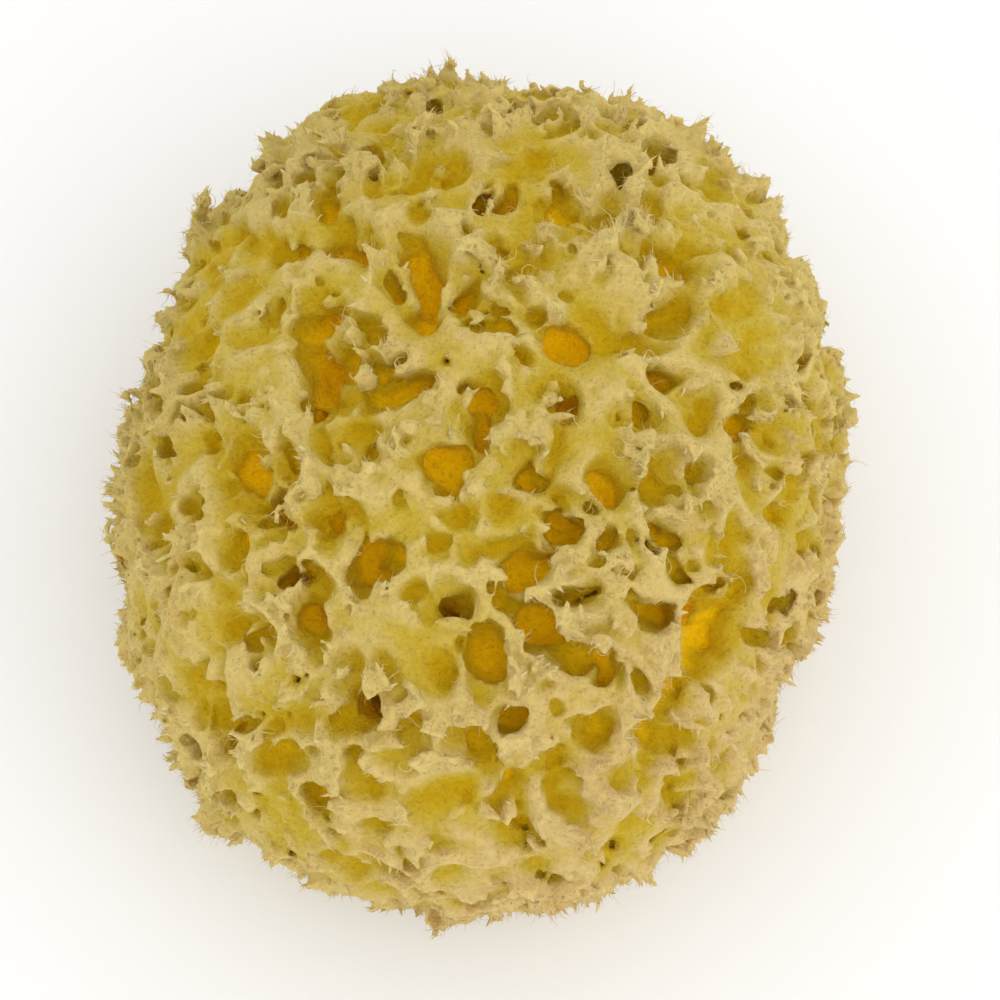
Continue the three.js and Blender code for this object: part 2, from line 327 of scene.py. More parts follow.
others = {
    "count": 1150,
    "clear": 5.2,  # from any listed pore
    "length": (2.2, 4.6),
    "sizes": [0.7, 1.0, 1.5],
    "shares": [0.3, 0.5, 0.2],
    "width": (0.5, 0.9),  # in lengths
    "depth": (0.8, 2.4),  # in widths
}


# Pores for the sides, back and underside, where none is listed: scattered, and kept off the listed ones.
def otherPores():
    random = np.random.default_rng(21)
    listed = np.array([skinPoint(row[0], row[1]) for row in mainPores])
    tilt, bearing = scatterOver(others["count"], 5)
    clear = nearest(skinPoint(tilt, bearing), listed) > others["clear"]
    tilt, bearing = tilt[clear], bearing[clear]
    count = len(tilt)
    length = random.uniform(*others["length"], count)
    length = length * random.choice(others["sizes"], count, p=others["shares"])
    width = length * random.uniform(*others["width"], count)
    deep = width * random.uniform(*others["depth"], count)
    return np.stack([tilt, bearing, length, width, random.uniform(0, 180, count), deep], -1)


small = {
    "count": 2100,
    "length": (0.9, 2.0),
    "width": (0.6, 1.0),
    "depth": (0.8, 3.0),
    "dimples": 0.35,  # share of them that are wide and shallow
    "dimpleSize": 2.2,
    "dimpleDepth": (0.7, 1.6),
}


# Small pores and dimples between the large ones, all over.
def smallPores():
    random = np.random.default_rng(33)
    tilt, bearing = scatterOver(small["count"], 9, 0.6)
    count = len(tilt)
    length = random.uniform(*small["length"], count)
    width = length * random.uniform(*small["width"], count)
    deep = random.uniform(*small["depth"], count)
    dimple = random.uniform(0, 1, count) < small["dimples"]
    length[dimple] *= small["dimpleSize"]
    width[dimple] *= small["dimpleSize"]
    deep[dimple] = random.uniform(*small["dimpleDepth"], dimple.sum())
    return np.stack([tilt, bearing, length, width, random.uniform(0, 180, count), deep], -1)


# Two sets: tilts, bearings, and how many.
grooveSets = [((50, 74), (-18, 24), 16), ((58, 80), (304, 338), 12)]


# Narrow grooves between thin fins, which run down the flank on the right.
def grooves():
    random = np.random.default_rng(47)
    tilt = np.concatenate([random.uniform(*tilts, count) for tilts, bearings, count in grooveSets])
    bearing = np.concatenate([np.linspace(*bearings, count) for tilts, bearings, count in grooveSets])
    count = len(tilt)
    bearing = bearing + random.normal(0, 1.0, count)
    length, width = random.uniform(6, 11, count), random.uniform(1.1, 1.8, count)
    heading = bearing + random.normal(0, 8, count)
    return np.stack([tilt, bearing, length, width, heading, random.uniform(1.8, 4, count)], -1)


sieveSettings = {
    "count": 50,
    "tilt": (49, 3.5),  # the spot's, and the spread round it
    "bearing": (256, 5),
    "size": (0.6, 1.1),
    "depth": (1.2, 2.4),
}


# A sieve of pin-sized holes low on the near side, thickest round one spot.
def sieve():
    random = np.random.default_rng(48)
    count = sieveSettings["count"]
    tilt = random.normal(*sieveSettings["tilt"], count)
    bearing = random.normal(*sieveSettings["bearing"], count)
    size = random.uniform(*sieveSettings["size"], count)
    deep = random.uniform(*sieveSettings["depth"], count)
    return np.stack([tilt, bearing, size, size * 0.9, np.zeros(count), deep], -1)


hollows = {"count": 1150, "length": (2.0, 4.2), "width": (0.5, 0.9), "depth": (1.0, 3.0)}


# Hollows of middling size that only dent the felt.
def shallowHollows():
    random = np.random.default_rng(44)
    tilt, bearing = scatterOver(hollows["count"], 13, 0.5)
    count = len(tilt)
    length = random.uniform(*hollows["length"], count)
    width = length * random.uniform(*hollows["width"], count)
    deep = random.uniform(*hollows["depth"], count)
    return np.stack([tilt, bearing, length, width, random.uniform(0, 180, count), deep], -1)


bowls = {
    "shift": (0.35, 0.85),  # to one side, in the pore's half widths
    "wider": (0.25, 0.7),  # than the pore, in the same
    "depth": 0.55,  # of the pore's
    "depths": (1.0, 4.2),  # least and greatest
}


# The wide, shallow bowl that each pore opens from: shifted to one side, so that the pore has one steep
# lip and one long slope.
def bowlsOf(pores, seed, reach):
    random = np.random.default_rng(seed)
    count = len(pores["deep"])
    across = np.cross(pores["inward"], pores["along"])
    turn = random.uniform(0, 2 * np.pi, (count, 1))
    size = pores["half"][:, 1:]
    shift = (np.cos(turn) * pores["along"] + np.sin(turn) * across) * size
    shift = shift * random.uniform(*bowls["shift"], (count, 1))
    return {
        "mouth": pores["mouth"] + shift,
        "inward": pores["inward"],
        "along": pores["along"],
        "half": pores["half"] + reach * size * random.uniform(*bowls["wider"], (count, 1)),
        "deep": reach * np.clip(bowls["depth"] * pores["deep"], *bowls["depths"]),
    }


cut = {"count": 90, "spread": (42, 52), "length": (2.0, 6.5), "width": (0.5, 0.95), "depth": (3, 11)}


# Pores that open in the cut: a golden-angle spiral of mouths over an ellipse.
def cutPores():
    random = np.random.default_rng(55)
    count = cut["count"]
    turn = np.arange(count) * 2.39996 + random.normal(0, 0.2, count)
    out = np.sqrt((np.arange(count) + 0.5) / count)
    along = random.uniform(0, np.pi, count)
    length = random.uniform(*cut["length"], count)
    inward = np.tile([0.0, 0.0, 1.0], (count, 1)) + random.normal(0, 0.15, (count, 3))
    inward /= np.linalg.norm(inward, axis=1, keepdims=True)
    side = np.stack([np.cos(along), np.sin(along), np.zeros(count)], -1)
    side -= inward * (side * inward).sum(1, keepdims=True)
    side /= np.linalg.norm(side, axis=1, keepdims=True)
    across, down = cut["spread"]
    return {
        "mouth": np.stack([out * np.cos(turn) * across, out * np.sin(turn) * down, np.zeros(count)], -1),
        "inward": inward,
        "along": side,
        "half": np.stack([length, length * random.uniform(*cut["width"], count)], -1) / 2,
        "deep": random.uniform(*cut["depth"], count),
    }


# The part of the grid round a straight line, so much wider on every side.
def partOf(start, end, pad):
    ends = np.stack([start, end])
    first = np.clip(np.floor((ends.min(0) - pad - gridStart) / voxel).astype(int), 0, gridShape)
    last = np.clip(np.ceil((ends.max(0) + pad - gridStart) / voxel).astype(int), 0, gridShape)
    return tuple(slice(a, b) for a, b in zip(first, last)) if (last > first).all() else None


# Places in a part of the grid as (along the axis, along the long side, across it), bent by soft lumps.
def placesIn(part, bends, origin, axis, along):
    x = axes[0][part[0]][:, None, None] - origin[0] + bends[0][part]
    y = axes[1][part[1]][None, :, None] - origin[1] + bends[1][part]
    z = axes[2][part[2]][None, None, :] - origin[2] + bends[2][part]
    return [x * d[0] + y * d[1] + z * d[2] for d in (axis, along, np.cross(axis, along))]


# Carves a set of pores into the field of distances from the nearest pore wall, less than 0 inside one.
# The distance is that of an ellipse that flares at the mouth and narrows with depth, closed by a round end.
def carve(walls, bends, pores, blend):
    for mouth, inward, along, (halfLong, halfWide), deep in zip(*pores.values()):
        pad = halfLong * (1 + poreShape["flare"]) + poreShape["reach"]
        part = partOf(mouth - 3.0 * inward, mouth + deep * inward, pad)
        if part is None:
            continue
        w, u, v = placesIn(part, bends, mouth, inward, along)
        u, v = u / halfLong, v / halfWide
        size = 1 - poreShape["taper"] * np.clip(w / deep, 0, 1) ** 1.5
        size += poreShape["flare"] * np.exp(-np.maximum(w, 0) / poreShape["flareDepth"])
        side = (np.sqrt(u * u + v * v) - size) * halfWide
        wall = -smoothMin(-side, -(w - deep), poreShape["endRound"] * halfWide)
        walls[part] = smoothMin(walls[part], wall, blend)


# A field's value at any points, straight-line between the grid's.
def sample(field, points, step=1):
    place = np.clip((points - gridStart) / (voxel * step), 0, np.array(field.shape) - 1.001)
    first = place.astype(int)
    t = place - first
    value = 0
    for a in (0, 1):
        for b in (0, 1):
            for c in (0, 1):
                share = np.abs(1 - a - t[:, 0]) * np.abs(1 - b - t[:, 1]) * np.abs(1 - c - t[:, 2])
                value = value + share * field[first[:, 0] + a, first[:, 1] + b, first[:, 2] + c]
    return value


# Torn teeth that stand on the rims of pores: flat cones, rooted a little under the felt, that lean over
# the mouth; about one to each so many mm of rim.
def teethOn(pores, felt, walls, seed):
    random = np.random.default_rng(seed)
    many = random.poisson(teethShape["perRim"] * pores["half"].sum(1))
    each = np.repeat(np.arange(len(many)), many)
    count = len(each)
    inward, along, half = pores["inward"][each], pores["along"][each], pores["half"][each]
    across = np.cross(inward, along)
    turn = random.uniform(0, 2 * np.pi, (count, 1))
    rim = np.cos(turn) * half[:, :1] * along + np.sin(turn) * half[:, 1:] * across
    away = np.cos(turn) / half[:, :1] * along + np.sin(turn) / half[:, 1:] * across
    away /= np.linalg.norm(away, axis=1, keepdims=True)
    aim = -inward - random.uniform(*teethShape["lean"], (count, 1)) * away
    aim = aim + random.normal(0, teethShape["stray"], (count, 3))
    aim /= np.linalg.norm(aim, axis=1, keepdims=True)
    side = np.cross(aim, away)
    side /= np.linalg.norm(side, axis=1, keepdims=True)
    wide = random.uniform(*teethShape["halfWide"], count)
    spot = pores["mouth"][each] + teethShape["setBack"] * rim
    sunk = np.maximum(-sample(felt, spot), -1)[:, None]
    teeth = {
        "base": spot + (sunk + teethShape["rooted"]) * inward,
        "aim": aim,
        "along": side,
        "half": np.stack([wide, wide * random.uniform(*teethShape["flat"], count)], -1),
        "length": teethShape["rooted"] + random.uniform(*teethShape["length"], count) ** teethShape["power"],
    }
    held = (sunk[:, 0] < teethShape["deepest"]) & (sample(walls, teeth["base"]) > teethShape["footing"])
    return {key: values[held] for key, values in teeth.items()}


# Adds the teeth to the solid's field: at each height the distance inside an ellipse that shrinks to a point.
def growTeeth(field, bends, teeth):
    for base, aim, along, (halfWide, halfThick), length in zip(*teeth.values()):
        part = partOf(base - aim, base + length * aim, halfWide + 1.0)
        if part is None:
            continue
        w, u, v = placesIn(part, bends, base, aim, along)
        size = np.clip(teethShape["foot"] - teethShape["foot"] * w / length, -2, 1.3)
        cone = (size - np.sqrt((u / halfWide) ** 2 + (v / halfThick) ** 2)) * halfThick
        cone = np.minimum(cone, w + 1.0)
        field[part] = -smoothMin(-field[part], -cone, teethShape["join"])


teethShape = {
    "perRim": 0.85,
    "deepest": 3.0,  # none where the felt lies deeper than this, or so near the wall of another pore
    "footing": 0.35,
    "setBack": 1.2,  # times the mouth's half width
    "lean": (0.0, 0.8),
    "stray": 0.25,
    "halfWide": (0.6, 1.25),
    "flat": (0.4, 0.7),  # half thickness over half width
    "foot": 1.15,  # how much wider it is where it is rooted
    "length": (0.9, 2.05),  # above the felt, before the power
    "power": 1.5,
    "rooted": 1.3,
    "join": 0.8,
}

surface = {
    "bend": [(7.0, 0.8), (2.6, 0.32)],  # size and strength of the wobble of every pore
    "swell": [(13.0, 0.9), (5.0, 0.75), (2.2, 0.34)],  # and of the lumps of the felt between them
    "tear": [(2.6, 0.4), (1.3, 0.28)],  # torn edges at the mouths
    "tearDepth": 2.6,
    "teeth": [(3.4, 0.9), (1.9, 0.6)],  # pointed teeth that stick into the mouths
    "lip": 1.0,  # how far the mouths' torn lips stand up
    "lipWidth": 0.5,
    "slope": 1.1,  # how far the felt sags towards a mouth where it has no lip
    "slopeWidth": 1.7,
    "sideSize": 5.0,  # how far apart the lips and the slopes lie
    "bowlBlend": 1.0,  # rounding where two bowls meet
    "bowlJoin": 1.5,  # rounding of the bowls' edges
    "join": 0.35,  # and of the mouths'
}


# The solid as a field, more than 0 inside it: the depth under the skin with lumps on it, less the bowls and
# then the pores, with edges torn by finer lumps, lips, slopes and teeth, cut off flat below.
def bodyField():
    bends = [
        sum(strength * lumps(100 + 10 * a + n, size) for n, (size, strength) in enumerate(surface["bend"]))
        for a in range(3)
    ]
    sets = [
        poreRows(mainPores, 1),
        poreRows(otherPores(), 2),
        poreRows(smallPores(), 3),
        poreRows(grooves(), 6),
        poreRows(sieve(), 7),
        cutPores(),
    ]
    dents = [bowlsOf(sets[0], 11, 1.0), bowlsOf(sets[1], 12, 0.6), poreRows(shallowHollows(), 4)]
    dented = np.full(gridShape, poreShape["reach"], np.float32)
    for pores in dents:
        carve(dented, bends, pores, surface["bowlBlend"])
    walls = np.full(gridShape, poreShape["reach"], np.float32)
    for pores in sets:
        carve(walls, bends, pores, poreShape["blend"])
    print("pores carved:", sum(len(pores["deep"]) for pores in sets))
    felt = depth - outline["skin"]
    for n, (size, strength) in enumerate(surface["swell"]):
        felt += strength * lumps(300 + n, size)
    felt = smoothMin(felt, dented, surface["bowlJoin"])
    side = lumps(401, surface["sideSize"])
    mouths = np.exp(-((np.clip(walls, 0, None) / surface["slopeWidth"]) ** 2))
    felt -= surface["slope"] * np.clip(-side, 0, 2) * mouths
    near = np.exp(-np.clip(felt, 0, None) / surface["tearDepth"])
    for n, (size, strength) in enumerate(surface["tear"]):
        walls += strength * lumps(200 + n, size) * near
    for n, (size, strength) in enumerate(surface["teeth"]):
        walls += strength * np.clip(1 - 2.2 * np.abs(lumps(250 + n, size)), -0.3, 1) * near
    ragged = np.clip(0.3 + 0.9 * lumps(400, 1.6), 0, 2.0) * np.clip(0.5 + side, 0, 1.3)
    felt += surface["lip"] * ragged * np.exp(-(((walls - 0.5) / surface["lipWidth"]) ** 2))
    field = smoothMin(felt, walls, surface["join"])
    for n, pores in enumerate(sets[:2]):
        growTeeth(field, bends, teethOn(pores, felt, walls, 420 + n))
    return np.minimum(field, axes[2][None, None, :])


# Fills in the grid points where the solid would touch itself, or the space round it touch itself, only
# along an edge or at a corner, so that the surface closes. Each fill may call for another.
def withoutPinches(field):
    fullness = np.float32(0.05 * voxel)  # of a point that is filled in
    while True:
        solid = field > 0
        fill = np.zeros(field.shape, bool)
        for a, b in ((0, 1), (0, 2), (1, 2)):
            s, f = np.moveaxis(solid, (a, b), (0, 1)), np.moveaxis(fill, (a, b), (0, 1))
            p, q, r, t = s[:-1, :-1], s[1:, :-1], s[:-1, 1:], s[1:, 1:]
            f[1:, :-1] |= p & t & ~q & ~r
            f[:-1, :-1] |= q & r & ~p & ~t
        ends = {0: slice(None, -1), 1: slice(1, None)}
        corners = [(a, b, c) for a in (0, 1) for b in (0, 1) for c in (0, 1)]
        views = {corner: tuple(ends[n] for n in corner) for corner in corners}
        filled = sum(solid[view].astype(np.uint8) for view in views.values())
        for first in corners[:4]:
            last = tuple(1 - n for n in first)
            beside = (first[0], first[1], 1 - first[2])
            fill[views[beside]] |= (filled == 2) & solid[views[first]] & solid[views[last]]
            fill[views[first]] |= (filled == 6) & ~solid[views[first]] & ~solid[views[last]]
        if not fill.any():
            return field
        field = np.where(fill, fullness, field)


# The surface where a field passes through zero: one point in each cell that it crosses, at the mean of its
# crossings of the cell's edges, and a four-sided face round each grid edge that it crosses.
def surfaceOf(field):
    solid = field > 0
    nx, ny, nz = field.shape
    corners = [(a, b, c) for a in (0, 1) for b in (0, 1) for c in (0, 1)]
    filled = np.zeros((nx - 1, ny - 1, nz - 1), np.uint8)
    for a, b, c in corners:
        filled += solid[a : nx - 1 + a, b : ny - 1 + b, c : nz - 1 + c]
    cell = np.flatnonzero((filled > 0) & (filled < 8))
    i, j, k = np.unravel_index(cell, filled.shape)
    first = (i * ny + j) * nz + k
    flat = field.ravel()
    values = [flat[first + (a * ny + b) * nz + c] for a, b, c in corners]
    total = np.zeros((len(cell), 3), np.float32)
    count = np.zeros(len(cell), np.float32)
    for p, cornerP in enumerate(corners):
        for q, cornerQ in enumerate(corners):
            if q <= p or sum(abs(m - n) for m, n in zip(cornerP, cornerQ)) != 1:
                continue
            crossed = (values[p] > 0) != (values[q] > 0)
            t = np.where(crossed, values[p] / np.where(crossed, values[p] - values[q], 1), 0)
            for a in range(3):
                total[:, a] += crossed * (cornerP[a] + t * (cornerQ[a] - cornerP[a]))
            count += crossed
    points = gridStart + voxel * (np.stack([i, j, k], -1) + total / count[:, None])
    index = np.full(filled.size, -1, np.int32)
    index[cell] = np.arange(len(cell), dtype=np.int32)
    index = index.reshape(filled.shape)
    faces = []
    for a in range(3):
        turned = np.moveaxis(solid, a, 0)
        cells = np.moveaxis(index, a, 0)
        p, q, r = np.nonzero((turned[:-1] != turned[1:])[:, 1:-1, 1:-1])
        q, r = q + 1, r + 1
        around = ((q - 1, r - 1), (q, r - 1), (q, r), (q - 1, r))
        quads = np.stack([cells[p, m, n] for m, n in around], -1)
        flip = ~turned[p, q, r] ^ (a == 1)
        quads[flip] = quads[flip][:, ::-1]
        faces.append(quads)
    return points, np.concatenate(faces)


def makeMesh(name, points, faces):
    mesh = bpy.data.meshes.new(name)
    mesh.vertices.add(len(points))
    mesh.vertices.foreach_set("co", (points * mm).astype(np.float32).ravel())
    mesh.loops.add(faces.size)
    mesh.loops.foreach_set("vertex_index", faces.astype(np.int32).ravel())
    mesh.polygons.add(len(faces))
    mesh.polygons.foreach_set("loop_start", np.arange(len(faces), dtype=np.int32) * faces.shape[1])
    mesh.update(calc_edges=True)
    mesh.polygons.foreach_set("use_smooth", np.ones(len(faces), bool))
    return mesh


def addPiece(name, mesh, material):
    piece = bpy.data.objects.new(name, mesh)
    bpy.context.scene.collection.objects.link(piece)
    mesh.materials.append(material)
    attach(piece, "root")
    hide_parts("sponge")


# Thins a mesh to so many triangles and gives back its points and triangles. The points marked `inner` are
# thinned first, to one in `innerThinning`, which leaves more triangles for the rest.
def thinned(mesh, triangles, inner):
    carrier = bpy.data.objects.new("carrier", mesh)
    bpy.context.scene.collection.objects.link(carrier)
    carrier.vertex_groups.new(name="inner").add(np.flatnonzero(inner).tolist(), 1.0, "REPLACE")
    whole = 2 * len(mesh.polygons)
    first = carrier.modifiers.new("thin inside", "DECIMATE")
    first.vertex_group = "inner"
    first.vertex_group_factor = 0
    first.ratio = 1 - inner.mean() * (1 - 1 / bodySettings["innerThinning"])
    second = carrier.modifiers.new("thin", "DECIMATE")
    second.ratio = min(1, triangles / (whole * first.ratio))
    shaped = carrier.evaluated_get(bpy.context.evaluated_depsgraph_get()).to_mesh()
    shaped.calc_loop_triangles()
    points = np.empty(len(shaped.vertices) * 3, np.float32)
    shaped.vertices.foreach_get("co", points)
    corners = np.empty(len(shaped.loop_triangles) * 3, np.int32)
    shaped.loop_triangles.foreach_get("vertices", corners)
    bpy.data.objects.remove(carrier)
    bpy.data.meshes.remove(mesh)
    return points.reshape(-1, 3) / mm, corners.reshape(-1, 3)


# Keeps the largest connected part: every point takes the least label of its neighbours until none changes.
def largestPart(points, triangles):
    label = np.arange(len(points))
    a = triangles.ravel()
    b = np.roll(triangles, 1, axis=1).ravel()
    while True:
        least = np.minimum(label[a], label[b])
        fresh = label.copy()
        np.minimum.at(fresh, a, least)
        np.minimum.at(fresh, b, least)
        fresh = fresh[fresh]
        if (fresh == label).all():
            break
        label = fresh
    names, sizes = np.unique(label, return_counts=True)
    keep = label == names[sizes.argmax()]
    order = np.cumsum(keep) - 1
    return points[keep], order[triangles[keep[triangles[:, 0]]]]


# How much of the space around a point is filled, from 0 to 1: the solid blurred by a bell curve.
def crowding(field, spread):
    step = grid["crowdStep"]
    full = np.clip(0.5 + field[::step, ::step, ::step] / voxel, 0, 1).astype(np.float32)
    for a in range(3):
        count = full.shape[a]
        gap = (np.arange(count)[:, None] - np.arange(count)[None, :]) * voxel * step
        blur = np.exp(-0.5 * (gap / spread) ** 2).astype(np.float32)
        blur /= blur.sum(1, keepdims=True)
        full = np.moveaxis(np.tensordot(blur, full, (1, a)), 0, a)
    return full


def setAttribute(mesh, name, values):
    attribute = mesh.attributes.new(name, "FLOAT", "POINT")
    attribute.data.foreach_set("value", values.astype(np.float32))


bodySettings = {
    "triangles": 198000,
    "innerThinning": 8,
    "innerDepth": 5.0,  # what lies deeper is thinned first, and so is what lies so near the cut
    "nearCut": 2.0,
    "lowDepth": 90,  # low down, what lies deeper than this over the height, with so much added to it
    "lowShift": 4,
    "crowd": 1.6,  # spread of the near crowding, and of the wide one
    "crowdWide": 4.0,
    "patches": [(9.0, 0.6), (3.2, 0.8)],  # size and strength of the patches of tone
}

field = withoutPinches(bodyField())
points, faces = surfaceOf(field)
print("body surface:", len(faces), "faces before thinning")
deepness = sample(depth, points)
inner = (deepness > bodySettings["innerDepth"]) | (points[:, 2] < bodySettings["nearCut"])
inner |= deepness > bodySettings["lowDepth"] / (points[:, 2] + bodySettings["lowShift"])
points, triangles = largestPart(*thinned(makeMesh("raw", points, faces), bodySettings["triangles"], inner))
crowd = crowding(field, bodySettings["crowd"])
marks = {
    "hollow": (depth, 1),
    "crowd": (crowd, grid["crowdStep"]),
    "crowdWide": (crowding(field, bodySettings["crowdWide"]), grid["crowdStep"]),
    "patch": (sum(part * lumps(500 + n, size) for n, (size, part) in enumerate(bodySettings["patches"])), 1),
}


# Marks that the finish reads: how deep a point lies and how closely it is walled in, from which the tone
# paints shade and a highlight, and a patch of tone.
def markPlaces(mesh, points, repeat=1):
    for name, (values, step) in marks.items():
        setAttribute(mesh, name, np.repeat(sample(values, points, step), repeat))


bodyMesh = makeMesh("sponge_body", points, triangles)
markPlaces(bodyMesh, points)
print("body:", len(triangles), "triangles")


# A screen colour, 0 to 255, as linear light: a straight line near black, and above it a power of 2.4.
def srgb(r, g, b):
    value = np.array([r, g, b]) / 255
    linear = np.where(value <= 0.04045, value / 12.92, ((value + 0.055) / 1.055) ** 2.4)
    return (*linear, 1.0)


# A node group with named inputs and outputs; inputs are (name, kind, value) and outputs (name, kind).
def nodeGroup(name, inputs, outputs):
    group = bpy.data.node_groups.new(name, "ShaderNodeTree")
    for label, kind, value in inputs:
        socket = group.interface.new_socket(label, in_out="INPUT", socket_type="NodeSocket" + kind)
        if value is not None:
            socket.default_value = value
    for label, kind in outputs:
        group.interface.new_socket(label, in_out="OUTPUT", socket_type="NodeSocket" + kind)
    return group, group.nodes.new("NodeGroupInput"), group.nodes.new("NodeGroupOutput")


def addNode(tree, kind, settings=None, links=None):
    node = tree.nodes.new("ShaderNode" + kind)
    for key, value in (settings or {}).items():
        if key in node.inputs:
            node.inputs[key].default_value = value
        else:
            setattr(node, key, value)
    for key, socket in (links or {}).items():
        tree.links.new(socket, node.inputs[key])
    return node


def mathNode(tree, operation, a, b=None, clamp=False):
    node = tree.nodes.new("ShaderNodeMath")
    node.operation = operation
    node.use_clamp = clamp
    for slot, value in enumerate((a, b)):
        if value is None:
            continue
        if isinstance(value, (int, float)):
            node.inputs[slot].default_value = value
        else:
            tree.links.new(value, node.inputs[slot])
    return node.outputs[0]


def mapRange(tree, value, fromLow, fromHigh, toLow=0.0, toHigh=1.0, smooth=True):
    node = tree.nodes.new("ShaderNodeMapRange")
    node.interpolation_type = "SMOOTHSTEP" if smooth else "LINEAR"
    tree.links.new(value, node.inputs["Value"])
    for key, number in zip(("From Min", "From Max", "To Min", "To Max"), (fromLow, fromHigh, toLow, toHigh)):
        node.inputs[key].default_value = number
    return node.outputs["Result"]


def mixColour(tree, factor, a, b, blend="MIX"):
    node = tree.nodes.new("ShaderNodeMix")
    node.data_type = "RGBA"
    node.blend_type = blend
    for socket, value in zip((node.inputs[0], node.inputs[6], node.inputs[7]), (factor, a, b)):
        if isinstance(value, (int, float, tuple)):
            socket.default_value = value
        else:
            tree.links.new(value, socket)
    return node.outputs[2]


tones = {
    "depthSpan": 13.0,  # mm of depth that the ramp runs over
    # share of that span, colour; the deeper stops are painted shade and light bounced between the pore walls
    "ramp": [
        (0.00, (205, 181, 107)),
        (0.14, (199, 174, 83)),
        (0.28, (194, 168, 60)),
        (0.42, (192, 162, 36)),
        (0.58, (189, 154, 14)),
        (0.78, (194, 157, 4)),
        (1.00, (236, 190, 2)),
    ],
    # in mm of depth: what crowding from so little to so much adds, lighter where the felt stands clear and
    # deeper where it is walled in as painted highlight and painted shade, and a patch and paleness of 1
    "crowd": (0.3, 0.8, -2.0, 4.0),
    "crowdWide": (0.35, 0.85, -0.8, 3.0),
    "patch": 0.8,
    "paleness": -3.0,
    # colours laid over the ramp, how strongly, and where each starts and is full
    "pale": (219, 199, 126),  # painted highlight on the tips that stand clear, by crowding
    "highlightMix": 0.6,
    "highlightSpan": (0.46, 0.2),
    "warmLightTint": (212, 182, 128),  # painted warm light low at the right, in metres
    "warmLightTintMix": 0.5,
    "warmLightTintSpan": (0.025, 0.075),
    "shadeTint": (176, 158, 84),  # painted shade at the far left, in metres
    "shadeTintMix": 0.4,
    "shadeTintSpan": (0.02, 0.07),
    "shallow": 5.0,  # both fade out by this depth
    # painted shade in the pin-holes of the grain
    "pinHoleShade": (190, 148, 30),
    "pinHoleShadeMix": 0.18,
    "bleached": (248, 236, 200),
    "sheen": (255, 240, 200),
}


# Colour of the felt: a ramp over how deep it lies and how closely it is walled in, whose deeper tones are
# painted shade and light bounced between the pore walls, made lighter where it stands proud as a painted
# highlight, with soft patches of lighter and deeper tone, a rosy cream low at the right as painted warm
# light and a dull khaki at the far left as painted shade.
def toneGroup():
    group, given, result = nodeGroup(
        "sponge tone",
        [
            ("Place", "Vector", None),
            ("Hollow", "Float", 0.0),
            ("Crowd", "Float", 0.5),
            ("Crowd Wide", "Float", 0.5),
            ("Patch", "Float", 0.0),
            ("Patchiness", "Float", 1.0),
            ("Paleness", "Float", 0.0),
        ],
        [("Color", "Color")],
    )
    patch = mathNode(group, "MULTIPLY", given.outputs["Patch"], given.outputs["Patchiness"])
    level = given.outputs["Hollow"]
    for added in (
        mapRange(group, given.outputs["Crowd"], *tones["crowd"], smooth=False),
        mapRange(group, given.outputs["Crowd Wide"], *tones["crowdWide"], smooth=False),
        mathNode(group, "MULTIPLY", patch, tones["patch"]),
        mathNode(group, "MULTIPLY", given.outputs["Paleness"], tones["paleness"]),
    ):
        level = mathNode(group, "ADD", level, added)
    share = mathNode(group, "DIVIDE", level, tones["depthSpan"], clamp=True)
    ramp = addNode(group, "ValToRGB", links={"Fac": share})
    elements = ramp.color_ramp.elements
    while len(elements) < len(tones["ramp"]):
        elements.new(0.5)
    for element, (position, colour) in zip(elements, tones["ramp"]):
        element.position = position
        element.color = srgb(*colour)
    # painted highlight: where the felt stands clear of what is round it, it is mixed towards a pale cream
    proud = mapRange(group, given.outputs["Crowd"], *tones["highlightSpan"])
    proud = mathNode(group, "MULTIPLY", proud, mapRange(group, patch, 1.2, -1.0, 0.3, 1.0))
    highlightShare = mathNode(group, "MULTIPLY", proud, tones["highlightMix"])
    colour = mixColour(group, highlightShare, ramp.outputs["Color"], srgb(*tones["pale"]))
    axis = addNode(group, "SeparateXYZ", links={0: given.outputs["Place"]})
    x, y = axis.outputs[0], axis.outputs[1]
    shallow = mapRange(group, level, tones["shallow"], 0.0)
    # painted warm light: low at the right the shallow felt is mixed towards a rosy cream
    rightLow = mathNode(group, "SUBTRACT", x, mathNode(group, "MULTIPLY", y, 0.9))
    # painted shade: at the far left the shallow felt is mixed towards a darker, duller tone
    leftFar = mathNode(group, "SUBTRACT", mathNode(group, "MULTIPLY", y, 0.6), x)
    for tint, where in (("warmLightTint", rightLow), ("shadeTint", leftFar)):
        share = mathNode(group, "MULTIPLY", mapRange(group, where, *tones[tint + "Span"]), shallow)
        share = mathNode(group, "MULTIPLY", share, tones[tint + "Mix"])
        colour = mixColour(group, share, colour, srgb(*tones[tint]))
    group.links.new(colour, result.inputs["Color"])
    return group


grain = {
    "threads": 1300.0,  # noise scales, per metre
    "dots": 1700.0,
    "holes": (0.3, 0.22),  # the lows of the dots that are pin-holes
    "holeDepth": 0.3,
}


